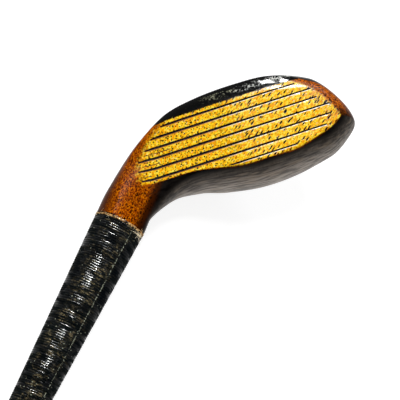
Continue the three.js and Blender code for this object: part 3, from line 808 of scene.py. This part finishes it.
class Surface(Graph):
    """The nodes of one material, with places in millimetres in a frame."""

    def __init__(self, name, placed_in=SHAFT_FRAME):
        self.material = bpy.data.materials.new(name)
        self.material.use_nodes = True
        super().__init__(self.material.node_tree)
        self.shader = self.tree.nodes["Principled BSDF"]
        self.placed_in = placed_in
        self.coordinates = self.node("TexCoord")
        self.place = self.in_frame("Object", "POINT", 1 / MM)
        self.x, self.y, self.z = self.parts(self.place)

    def in_frame(self, output, kind, scale):
        """A texture coordinate turned from the row's frame, that of the meshes, into this one."""
        inside = self.placed_in.inverted()
        node = self.node("Mapping", [self.coordinates.outputs[output]], vector_type=kind)
        if kind == "POINT":
            node.inputs["Location"].default_value = inside.to_translation() * scale
        node.inputs["Rotation"].default_value = inside.to_euler()
        node.inputs["Scale"].default_value = (scale, scale, scale)
        return node.outputs[0]

    def parts(self, vector):
        return [Value(self, output) for output in self.node("SeparateXYZ", [vector]).outputs]

    def joined(self, *parts):
        return self.node("CombineXYZ", parts).outputs[0]

    def highest(self, first, second):
        return self.math("MAXIMUM", first, second)

    def length(self, first, second):
        return self.math("SQRT", first * first + second * second)

    def smooth(self, value, low, high, bottom=0.0, top=1.0):
        """A smooth step from bottom to top while the value goes from low to high."""
        given = value, low, high, bottom, top
        node = self.node("MapRange", given, interpolation_type="SMOOTHSTEP")
        return Value(self, node.outputs[0])

    def mix(self, share, first, second):
        """Two colours mixed, each from a node or given as 0 to 255 values."""
        node = self.node("Mix", [share], data_type="RGBA")
        sockets = [socket for socket in node.inputs if socket.type == "RGBA"]
        for socket, colour in zip(sockets, (first, second)):
            self.put(socket, rgb(*colour) if isinstance(colour, tuple) else colour)
        return node.outputs[2]

    def ramp(self, value, low, high, first, second, top=1.0):
        """A smooth step from one colour to a share of another, from a low value to a high one."""
        return self.mix(self.smooth(value, low, high, 0.0, top), first, second)

    def noise(self, scale, detail, roughness=0.5, distortion=0.0, run=None, place=None):
        """A cloudy pattern. A run, given as (direction, times), stretches it."""
        place = place or self.place
        node = self.node("TexNoise", [self.stretched(place, *run) if run else place])
        names = ("Scale", "Detail", "Roughness", "Distortion")
        for name, value in zip(names, (scale, detail, roughness, distortion)):
            node.inputs[name].default_value = value
        return Value(self, node.outputs[0])

    def cells(self, vector, scale=1.0, dimensions="3D"):
        """Distance to the nearest of many scattered points."""
        node = self.node("TexVoronoi", [vector], voronoi_dimensions=dimensions)
        node.inputs["Scale"].default_value = scale
        return Value(self, node.outputs["Distance"])

    def pores(self, along, stretch, scale, radius, soft, shift=(0, 0)):
        """Dashes on the face, seen square to it: they run along a direction given as (x, z)."""
        length = hypot(*along)
        x_share, z_share = along[0] / length, along[1] / length
        x, z = self.x - shift[0], self.z - shift[1]
        place = self.joined((x * x_share + z * z_share) / stretch, z * x_share - x * z_share, 0.0)
        return self.smooth(self.cells(place, scale, "2D") - radius, 0.0, soft, 1.0, 0.0)

    def stretched(self, vector, direction, times):
        """Coordinates squeezed along a direction, so that patterns stretch along it."""
        direction = tuple(Vector(direction).normalized())
        along = self.node("VectorMath", (vector, direction), operation="DOT_PRODUCT")
        part = self.node("VectorMath", [direction], operation="SCALE")
        self.put(part.inputs["Scale"], Value(self, along.outputs["Value"]) * (1 - 1 / times))
        return self.node("VectorMath", (vector, part.outputs[0]), operation="SUBTRACT").outputs[0]

    def bump(self, height, distance, strength=1.0):
        node = self.node("Bump")
        node.inputs["Strength"].default_value = strength
        node.inputs["Distance"].default_value = distance * MM
        self.put(node.inputs["Height"], height)
        self.put(self.shader.inputs["Normal"], node.outputs[0])

    def finish(self, colour, roughness, **settings):
        self.put(self.shader.inputs["Base Color"], colour)
        self.put(self.shader.inputs["Roughness"], roughness)
        for name, value in settings.items():
            self.shader.inputs[name.replace("_", " ")].default_value = value
        return self.material


def rgb(red, green, blue):
    """A shader colour from the 0 to 255 values that a screen shows."""
    def linear(value):
        share = value / 255
        return share / 12.92 if share <= 0.04045 else ((share + 0.055) / 1.055) ** 2.4
    return linear(red), linear(green), linear(blue), 1


# Directions of the face's grain, of the neck's, and of the stained wood's
FACE_GRAIN = (0.8, 0.15, -0.6)
NECK_GRAIN = (0.67, 0.1, -0.74)
CROWN_GRAIN = (1, 0, 0.1)
PORE_RUN = (0.8, -0.6)

# Edge of the golden field, in x and z of the head's frame: radius and centre of its curve round
# the toe below, and of its curve along the crown with the end of that curve; start, end and height
# of its rise to the heel; middle, reach and depth of its dip at the toe; and foremost point and
# bend of its heel end
FIELD_TOE = (32.2, 6.7, 37.8)
FIELD_CROWN = (31.9, 17.5, 5.1)
FIELD_CROWN_END = 38.5
FIELD_RISE = (-33, -2, 4.05)
FIELD_DIP = (24.5, 12, 1.05)
FIELD_HEEL = (-50.8, 29.5, 0.041)


def golden_field(g, ragged, behind):
    """The share of clear golden face, and the distance below its edge along the crown."""
    x, z = g.x, g.z
    radius, centre_x, centre_z = FIELD_TOE
    below = radius - g.length(g.highest(x - centre_x, 0), z - centre_z)
    radius, centre_x, centre_z = FIELD_CROWN
    bound_x = g.math("MINIMUM", x, FIELD_CROWN_END)
    above = radius - g.length(g.highest(bound_x - centre_x, 0), z - centre_z)
    start, end, height = FIELD_RISE
    above = above - g.smooth(x, start, end, height, 0.0)
    middle, reach, depth = FIELD_DIP
    above = above - g.smooth(abs(x - middle), 0, reach, depth, 0.0)
    front, middle, bend = FIELD_HEEL
    centred = z - middle
    heel = g.smooth(x - front - centred * centred * bend + ragged * 11, -3.2, 1.8)
    below = g.smooth(below + ragged * 1.2, -0.6, 0.8)
    under_crown = g.smooth(above + ragged * 0.8, -0.15, 0.3)
    return heel * below * under_crown * g.smooth(behind, 1.6, 3.0, 1, 0), above


def gold_colour(g):
    """Yellow with paler and more orange flecks, and burnt streaks at the toe."""
    fleck = g.noise(1.2, 2, run=(FACE_GRAIN, 1.5))
    gold = g.ramp(fleck, 0.41, 0.5, (244, 160, 5), (255, 205, 24))
    gold = g.ramp(fleck, 0.55, 0.63, gold, (255, 228, 80))
    gold = g.mix(g.smooth(g.noise(1.7, 1), 0.31, 0.38, 0.6, 0), gold, (140, 64, 0))
    streak = g.noise(1.6, 2, 0.6, run=(FACE_GRAIN, 5))
    burnt = g.smooth(streak, 0.5, 0.58, 0, 0.75) * g.smooth(g.x, 22, 34)
    return g.mix(burnt, gold, (176, 82, 0))


def amber_colour(g, faceward, behind):
    """Orange varnish on the neck and toe rim, with painted shade browning the sides turned away."""
    ripple = g.noise(2.0, 2, run=(NECK_GRAIN, 1.6))
    amber = g.ramp(ripple, 0.4, 0.5, (104, 40, 0), (176, 80, 0))
    amber = g.ramp(ripple, 0.54, 0.62, amber, (222, 126, 0))
    amber = g.ramp(g.noise(0.1, 2), 0.35, 0.65, amber, (90, 34, 0), 0.35)
    tick = g.noise(1.6, 2, 0.6, run=((0.3, -0.8, 0.5), 5))
    at_toe = g.smooth(g.x, 18, 26)
    amber = g.mix(at_toe * 0.5, amber, (224, 112, 0))
    amber = g.mix(at_toe * g.smooth(tick, 0.46, 0.54, 0, 0.8), amber, (76, 24, 0))
    amber = g.mix(at_toe * g.smooth(g.z, 23, 30, 0, 0.9), amber, (34, 11, 0))
    # Painted shade: brown where the surface turns away from the face, most on the neck
    painted_side_shade = g.smooth(faceward, 0.2, 0.75, 0.9, 0) * g.smooth(g.x, 0, 20, 1, 0.4)
    amber = g.mix(painted_side_shade, amber, (44, 16, 0))
    return g.ramp(behind, 3, 14, amber, (54, 20, 0), 0.85)


def stain_and_sheen_colour(g, under, behind):
    """Black beside the face and underneath, with painted grey sheen and rubbing further back."""
    # Painted sheen: grey that grows with the distance behind the face
    grey = g.ramp(behind, 0.8, 5.5, (7, 6, 6), (78, 71, 64))
    grey = g.ramp(behind, 5, 20, grey, (168, 157, 146))
    grey = g.mix(under, grey, (8, 8, 9))
    grain = g.noise(0.7, 4, run=(CROWN_GRAIN, 6))
    grey = g.ramp(grain, 0.38, 0.6, grey, (26, 23, 21), 0.7)
    # Paler tan-grey patches, partly rubbing and partly painted sheen
    cloud = g.noise(0.25, 3, 0.6, run=(CROWN_GRAIN, 3))
    wear_and_sheen = g.smooth(cloud, 0.5, 0.66, 0, 0.35) * g.smooth(behind, 2, 8)
    return g.mix(wear_and_sheen, grey, (150, 132, 112))


def wood_pores(g, golden):
    """Dark pores, and pale glints beside those of the face."""
    spread = g.noise(0.45, 2)
    dot = g.pores(PORE_RUN, 1.15, 0.85, g.smooth(spread, 0.34, 0.64, 0.09, 0.26), 0.05)
    speck = g.pores((0.9, -0.4), 1.3, 0.9, g.smooth(spread, 0.34, 0.66, 0.02, 0.16), 0.08)
    dash = g.pores(PORE_RUN, 3.6, 0.66, g.smooth(spread, 0.32, 0.64, 0.09, 0.21), 0.05)
    glint = g.pores(PORE_RUN, 2.0, 0.5, g.smooth(spread, 0.32, 0.64, 0.03, 0.1), 0.08, (0.7, 0.45))
    fine = g.pores((0.6, -0.8), 1.5, 0.95, g.smooth(spread, 0.3, 0.66, 0.1, 0.27), 0.08)
    slash = g.pores(PORE_RUN, 2.4, 0.3, g.smooth(spread, 0.45, 0.7, 0.0, 0.11), 0.03)
    toeward = g.smooth(g.x, -24, 4)
    on_face = g.highest(dot * (1 - toeward) + dash * toeward, speck * 0.6)
    on_neck = g.highest(fine * 0.8, slash)
    return on_face * golden + on_neck * (1 - golden), glint * golden * 0.45


def head_wood_material():
    g = Surface("varnished_head_wood", HEAD_FRAME)
    x, y, z = g.x, g.y, g.z
    _, faceward, upward = g.parts(g.in_frame("Normal", "VECTOR", 1))
    # Distance behind the face surface, and distance from the shaft line toward the crown
    run = g.highest(0, -RUN_OUT_START - (x + z * RUN_OUT_SLANT))
    plane = (LEADING_EDGE_HEIGHT - z) * LOFT_SLOPE
    behind = plane + run * run / (2 * RUN_OUT_RADIUS) - y
    crownward = (x - NECK_END[0]) * sin(LIE) + (z - NECK_END[2]) * cos(LIE)
    ragged = g.noise(0.9, 3) - 0.5
    golden, above = golden_field(g, ragged, behind)
    # Black stain: the crown from its edge on, the crown side of the neck, the sole and the back
    on_neck = g.smooth(crownward + ragged, 5.0, 12.2)
    clear = g.smooth(x, -42, -36.5, 1, 0) * (1 - on_neck)
    on_crown = g.smooth(ragged * 0.8 - above, -0.1, 0.4) * (1 - clear)
    under = g.smooth(upward, -0.53, -0.42, 1, 0) * g.smooth(x, -46, -38)
    hidden = g.smooth(behind, 9, 20) * g.smooth(x, -60, -50)
    stain = g.highest(on_crown, g.highest(under, hidden))
    colour = g.mix(golden, amber_colour(g, faceward, behind), gold_colour(g))
    colour = g.ramp(stain, 0, 0.6, colour, (54, 20, 0))
    # The stained wood, with its painted grey sheen
    colour = g.ramp(stain, 0.65, 1, colour, stain_and_sheen_colour(g, under, behind))
    # Dark line in the joint with the horn
    seam = g.smooth(z + ragged * 1.6, HORN_THICKNESS + 0.25, HORN_THICKNESS + 0.5, 0.95, 0)
    colour = g.mix(seam, colour, (14, 7, 1))
    pore, glint = wood_pores(g, golden)
    pore = pore * g.smooth(behind, 5, 9, 1.0, 0.0) * g.smooth(stain, 0.5, 1, 1, 0.25)
    colour = g.mix(glint, colour, (255, 244, 170))
    colour = g.mix(pore, colour, (8, 2, 0))
    g.bump(g.noise(0.5, 3) * 0.12 - pore, 0.04, 0.5)
    # The varnish keeps its shine on the toe half of the face, and is rubbed dull elsewhere
    shine = golden * g.smooth(x, -10, 10)
    g.put(g.shader.inputs["Specular Tint"], g.mix(shine, (60, 60, 60), (255, 255, 255)))
    rough = g.smooth(g.noise(0.4, 3), 0.3, 0.7, 0.13, 0.2) + (1 - shine) * 0.15
    return g.finish(colour, rough, Specular_IOR_Level=0.025)


def one_noise_material(name, placed_in, noise, ramp, relief, rough, run=None, **settings):
    """A material whose colour, relief and roughness all follow one noise."""
    g = Surface(name, placed_in)
    pattern = g.noise(*noise, run=run)
    g.bump(pattern, *relief)
    if isinstance(rough, tuple):
        rough = g.smooth(pattern, 0.3, 0.7, *rough)
    return g.finish(g.ramp(pattern, *ramp), rough, **settings)


def lip_material():
    """The upper lip of each line: a pale painted highlight toward the toe, dark wood toward the
    heel.
    """
    g = Surface("line_lip_highlight", HEAD_FRAME)
    lip_noise = g.noise(0.8, 2)
    pale = g.ramp(lip_noise, 0.4, 0.55, (255, 214, 90), (255, 250, 232))
    # Painted highlight on the toe half of each lip
    colour = g.mix(g.smooth(g.x, -22, 2) * g.smooth(lip_noise, 0.36, 0.42), (206, 124, 4), pale)
    g.bump(lip_noise, 0.03, 0.4)
    return g.finish(colour, g.smooth(lip_noise, 0.3, 0.7, 0.25, 0.4), Specular_IOR_Level=0.01)


def horn_material():
    """Polished black; its middle band is rubbed horn and painted highlight, near white toward the
    toe.
    """
    g = Surface("polished_horn", HEAD_FRAME)
    streak = g.noise(0.9, 3, 0.6, run=((1, 0, 0.25), 4))
    speck = g.noise(1.5, 2, 0.6)
    # Band along the middle where the highlight falls: rubbed horn and painted highlight
    band = g.smooth(g.z, 4.0, 5.4) * g.smooth(g.z, 6.4, 8.0, 1, 0)
    pale = g.smooth(streak, 0.47, 0.56) * g.smooth(speck, 0.46, 0.55) * band
    pale = pale * g.smooth(g.x, -20, -8)
    # Painted highlight: near white toward the toe
    wear_and_highlight = g.ramp(g.x, -5, 3, (148, 148, 124), (226, 228, 222))
    colour = g.mix(pale, (3, 4, 4), wear_and_highlight)
    colour = g.mix(band * g.smooth(speck, 0.62, 0.7, 0, 0.35), colour, (70, 66, 52))
    g.bump(streak + speck * 0.4, 0.03, 0.3)
    return g.finish(colour, g.smooth(speck, 0.35, 0.65, 0.05, 0.12), Specular_IOR_Level=0.04)


UNROLLED_RADIUS = 9.0
LIT_ANGLE = 1.35


def whipping_material(name, pitch, worn):
    """Pitched thread: near black, tan where the pitch has worn off, and most on the lit side:
    painted light.
    """
    g = Surface(name)
    angle = g.math("ARCTAN2", g.z, g.y)
    unrolled = g.joined(g.x / pitch, angle * UNROLLED_RADIUS, 0.0)
    streak = g.noise(1.2, 2, 0.6, run=((0, 1, 0), 6), place=unrolled)
    patch = g.noise(0.14, 3, 0.6)
    fibre = g.noise(1.8, 2, 0.6)
    # Painted light: the tan gathers round LIT_ANGLE, the lit side, and fades on the shaded sides
    middle = g.smooth(abs(angle - LIT_ANGLE), 0.3, 0.95, 0.9, 0.08)
    amount = g.smooth(patch, 0.38, 0.62, 0.12, 1) * (middle * worn)
    line = g.smooth(streak, 0.52, 0.58) * amount * g.smooth(fibre, 0.38, 0.5)
    grit = g.smooth(fibre, 0.56, 0.66) * (amount * 0.35)
    dark = g.ramp(patch, 0.35, 0.65, (1, 4, 6), (6, 12, 13))
    bare_thread = g.ramp(g.noise(0.5, 2), 0.42, 0.6, (50, 50, 38), (140, 126, 94))
    colour = g.mix(g.highest(line, grit), dark, bare_thread)
    crumb = g.cells(g.place, 0.42)
    colour = g.mix(g.smooth(crumb, 0.08, 0.14, 0.7, 0), colour, (160, 164, 144))
    g.bump(fibre + streak, 0.1, 0.6)
    # Waxed stretches shine; between them the pitch is matt
    waxed = g.smooth(g.noise(0.45, 2, run=((0, 1, 0), 4), place=unrolled), 0.48, 0.56)
    g.put(g.shader.inputs["Specular Tint"], g.mix(waxed, (20, 20, 20), (255, 255, 255)))
    return g, colour, 0.8 - waxed * 0.68


def thread_material():
    """The neck's thread, with rubbing and painted highlight along its ridge, and bare in its first
    turn.
    """
    g, colour, rough = whipping_material("pitched_thread", THREAD_PITCH, 1.0)
    off_ridge = abs(g.math("ARCTAN2", g.z, g.y) - RIDGE_ANGLE)
    # Pale dots along the ridge: partly rubbed thread, partly painted highlight
    wear_and_sheen = g.smooth(off_ridge, 0.01, 0.035, 1, 0) * g.smooth(g.noise(1.4, 2), 0.51, 0.56)
    colour = g.mix(wear_and_sheen, colour, (150, 154, 136))
    bare = g.smooth(g.x, THREAD_START + 0.3, THREAD_START + 0.9, 1, 0)
    bare = bare * g.smooth(g.noise(0.9, 3), 0.4, 0.5)
    flax = g.ramp(g.noise(1.6, 2), 0.4, 0.6, (150, 100, 48), (226, 186, 124))
    return g.finish(g.mix(bare, colour, flax), rough, Specular_IOR_Level=0.06)


def plain_thread_material():
    g, colour, rough = whipping_material("waxed_thread", GRIP_THREAD_DIAMETER, 0.4)
    return g.finish(colour, rough, Specular_IOR_Level=0.06)


def fray_material():
    g = Surface("frayed_ends")
    shade = g.noise(1.1, 2, 0.6)
    colour = g.ramp(shade, 0.36, 0.64, (160, 108, 52), (244, 214, 156))
    tuft = g.smooth(g.x, THREAD_START + 0.5, THREAD_START + 1.1) * 0.75
    g.bump(shade, 0.03, 0.5)
    return g.finish(g.mix(tuft, colour, (255, 244, 214)),
                    g.smooth(shade, 0.3, 0.7, 0.6, 0.8), Specular_IOR_Level=0.05)


def hickory_material():
    g = Surface("oiled_hickory")
    rings = g.noise(0.55, 4, 0.6, 0.4, run=((1, 0.01, 0), 26))
    flecks = g.cells(g.stretched(g.place, (1, 0, 0), 14), 1.6)
    colour = g.ramp(rings, 0.35, 0.65, (124, 72, 30), (186, 124, 62))
    colour = g.ramp(g.noise(0.02, 3), 0.4, 0.7, colour, (96, 54, 24), 0.4)
    fleck = g.smooth(flecks, 0.1, 0.2, 0.7, 0)
    g.bump(rings - fleck, 0.05, 0.5)
    return g.finish(g.mix(fleck, colour, (58, 30, 12)),
                    g.smooth(rings, 0.3, 0.7, 0.3, 0.45), Coat_Weight=0.25, Coat_Roughness=0.2)


def leather_material():
    g = Surface("suede_leather")
    nap = g.noise(1.6, 5, 0.7)
    worn = g.noise(0.05, 4, 0.6)
    colour = g.ramp(nap, 0.3, 0.7, (46, 31, 22), (84, 60, 42))
    colour = g.ramp(worn, 0.45, 0.7, colour, (34, 24, 18), 0.6)
    g.bump(nap, 0.18, 0.7)
    return g.finish(colour, g.smooth(worn, 0.3, 0.7, 0.9, 0.6), Sheen_Weight=0.2)


# Near black inside the face lines
LINE_DARK = one_noise_material(
    "dark_line_inside", HEAD_FRAME, (1.4, 3, 0.6), (0.5, 0.75, (2, 1, 0), (26, 14, 3)),
    (0.03, 0.5), (0.5, 0.7), Specular_IOR_Level=0.01)
PEG_WOOD = one_noise_material(
    "peg_end_grain", HEAD_FRAME, (1.6, 4, 0.6), (0.35, 0.65, (122, 84, 46), (176, 136, 86)),
    (0.05, 0.5), 0.55)
LEAD = one_noise_material(
    "dull_lead", HEAD_FRAME, (1.4, 4, 0.7), (0.3, 0.7, (86, 88, 92), (140, 142, 146)),
    (0.06, 0.5), (0.4, 0.6), run=((1, 0, 0.4), 8), Metallic=0.8)
PITCH = one_noise_material(
    "pitch_bed", SHAFT_FRAME, (1.2, 4, 0.6), (0.5, 0.7, (2, 5, 7), (40, 38, 26)),
    (0.1, 0.6), (0.3, 0.5), Specular_IOR_Level=0.06)
CLOTH = one_noise_material(
    "underlisting_cloth", SHAFT_FRAME, (1.8, 3, 0.6), (0.3, 0.7, (128, 116, 88), (176, 162, 128)),
    (0.1, 0.6), 0.9)
STEEL = one_noise_material(
    "dull_steel", SHAFT_FRAME, (2.0, 4, 0.6), (0.4, 0.7, (120, 120, 118), (172, 171, 168)),
    (0.03, 0.4), (0.3, 0.55), Metallic=1.0)


# Build

def dress(piece, node, material=None):
    """Moves a piece's own frame into its mesh, gives it its material and body, and hides its CAD
    node.
    """
    piece.data.transform(piece.matrix_world)
    piece.matrix_world = Matrix()
    if material:
        piece.data.materials.clear()
        piece.data.materials.append(material)
    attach(piece, BODY)
    if node:
        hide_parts(node)


pieces = head_pieces(head_wood_material(), LINE_DARK, lip_material())
dress(pieces["head"], "head")
dress(pieces["horn_slip"], "horn_slip", horn_material())
for peg_name in PEG_PLACES:
    dress(pieces[f"horn_peg_{peg_name}"], f"horn_peg_{peg_name}", PEG_WOOD)
dress(pieces["back_weight"], "back_weight", LEAD)
dress(shaft_piece(), "shaft", hickory_material())
neck_thread, pitch_bed = neck_winding()
dress(neck_thread, "neck_whipping_thread", thread_material())
dress(pitch_bed, "neck_whipping_sleeve", PITCH)
dress(frayed_end(), None, fray_material())
dress(leather_grip(), "grip_leather", leather_material())
waxed = plain_thread_material()
for end_name, grip_thread in grip_threads().items():
    dress(grip_thread, f"grip_whipping_{end_name}", waxed)
for end_name, tack_place in TACK_PLACES.items():
    dress(tack(f"tack_{end_name}", tack_place), f"grip_tack_{end_name}", STEEL)
for material_slot in frame["nodes"]["grip_underlisting"].material_slots:
    material_slot.material = CLOTH


# Floor, light and camera

WORLD_LIGHT = 0.36
FLOOR_GLOW = 0.76
FLOOR_GREY = (0.5, 0.5, 0.5, 1)
WHITE = (1, 1, 1, 1)
# Half the floor's side, and its gap to the club, in metres
FLOOR_REACH = 8
FLOOR_DROP = 0.0002

LAMP_TARGET = (0, -10, 18)
# Name, direction from the target, distance, size (across, the other way), watts
ROOM_LAMPS = (
    ("key", (0.28, 0.95, 0.0), 900, (200, 200), 4.5),
    ("rim", (-0.45, -0.1, 0.95), 800, (300, 300), 1.5),
    ("top", (0.35, 0.55, -0.72), 900, (200, 200), 2.5),
)
# The same, and the direction that each lamp's first size runs along
GLOSS_LAMPS = (
    ("horn_gloss", (0.2, 0.72, -0.66), 900, (100, 380), 2.4, (1, 0, 0)),
    ("toe_glare", (0.205, 0.95, -0.18), 900, (520, 110), 6.5, (-0.11, 0.05, 0.5)),
    ("thread_gloss", (0.56, 0.7, -0.44), 900, (340, 110), 2.7, (0.6, -0.7, -0.35)),
)
GLOSS_SPREAD = radians(24)


def seen_share(g):
    """1 for the rays that see the white background: camera, mirror and glass rays."""
    path = g.node("LightPath").outputs
    total = path["Is Camera Ray"]
    for name in ("Is Glossy Ray", "Is Transmission Ray"):
        total = g.math("ADD", total, path[name], use_clamp=True)
    return total


def floor():
    mesh = bpy.data.meshes.new("floor")
    low, high = -FLOOR_REACH, FLOOR_REACH
    corners = [(low, low, 0), (high, low, 0), (high, high, 0), (low, high, 0)]
    mesh.from_pydata(corners, [], [(0, 1, 2, 3)])
    material = bpy.data.materials.new("pale_floor")
    material.use_nodes = True
    g = Graph(material.node_tree)
    g.tree.nodes.clear()
    diffuse = g.node("BsdfDiffuse", [FLOOR_GREY])
    glow = g.node("Emission", (WHITE, seen_share(g) * FLOOR_GLOW))
    both = g.node("AddShader", (diffuse.outputs[0], glow.outputs[0]))
    g.node("OutputMaterial", [both.outputs[0]])
    mesh.materials.append(material)
    place = Matrix.Translation((0, 0, cad_bounds[0].z - FLOOR_DROP))
    add_object("floor", mesh, place)


def world():
    sky = bpy.data.worlds.new("studio")
    bpy.context.scene.world = sky
    sky.use_nodes = True
    g = Graph(sky.node_tree)
    level = g.node("MapRange", (seen_share(g), 0, 1, WORLD_LIGHT, 1))
    background = sky.node_tree.nodes["Background"]
    g.put(background.inputs["Color"], WHITE)
    g.put(background.inputs["Strength"], level.outputs[0])


def lamp(name, direction, distance, size, watts, across=(1, 0, 0)):
    """A soft lamp, placed by a direction in the head's frame."""
    light = bpy.data.lights.new(name, "AREA")
    light.shape = "RECTANGLE"
    light.energy = watts
    light.size, light.size_y = np.multiply(size, MM)
    outward = Vector(direction).normalized()
    upright = outward.cross(Vector(across)).normalized()
    place = Vector(LAMP_TARGET) + outward * distance
    holder = add_object(
        name, light, HEAD_FRAME @ pose(upright.cross(outward), upright, outward, place))
    holder.visible_camera = False
    holder.visible_glossy = False
    return holder


def gloss_lamp(*given):
    """A lamp for gloss alone, with a grid that narrows its light to the head end of the club."""
    holder = lamp(*given)
    holder.data.spread = GLOSS_SPREAD
    holder.visible_diffuse = False
    holder.visible_glossy = True


def camera():
    tilt, turn = CAMERA_ABOVE_FACE, CAMERA_TURN
    toward = Vector((0, cos(tilt), sin(tilt)))
    upright = Vector((0, -sin(tilt), cos(tilt)))
    toe = Vector((1, 0, 0))
    right = toe * cos(turn) + upright * sin(turn)
    up = toe * sin(turn) - upright * cos(turn)
    data = bpy.data.cameras.new("photo_camera")
    data.lens = CAMERA_LENS
    data.sensor_width = CAMERA_SENSOR
    data.clip_end = 100
    place = Vector(PHOTO_CENTRE) + toward * CAMERA_DISTANCE
    bpy.context.scene.camera = add_object(
        "photo_camera", data, HEAD_FRAME @ pose(right, up, toward, place))


floor()
world()
for settings in ROOM_LAMPS:
    lamp(*settings)
for settings in GLOSS_LAMPS:
    gloss_lamp(*settings)
camera()
bpy.context.scene.view_settings.view_transform = "Standard"
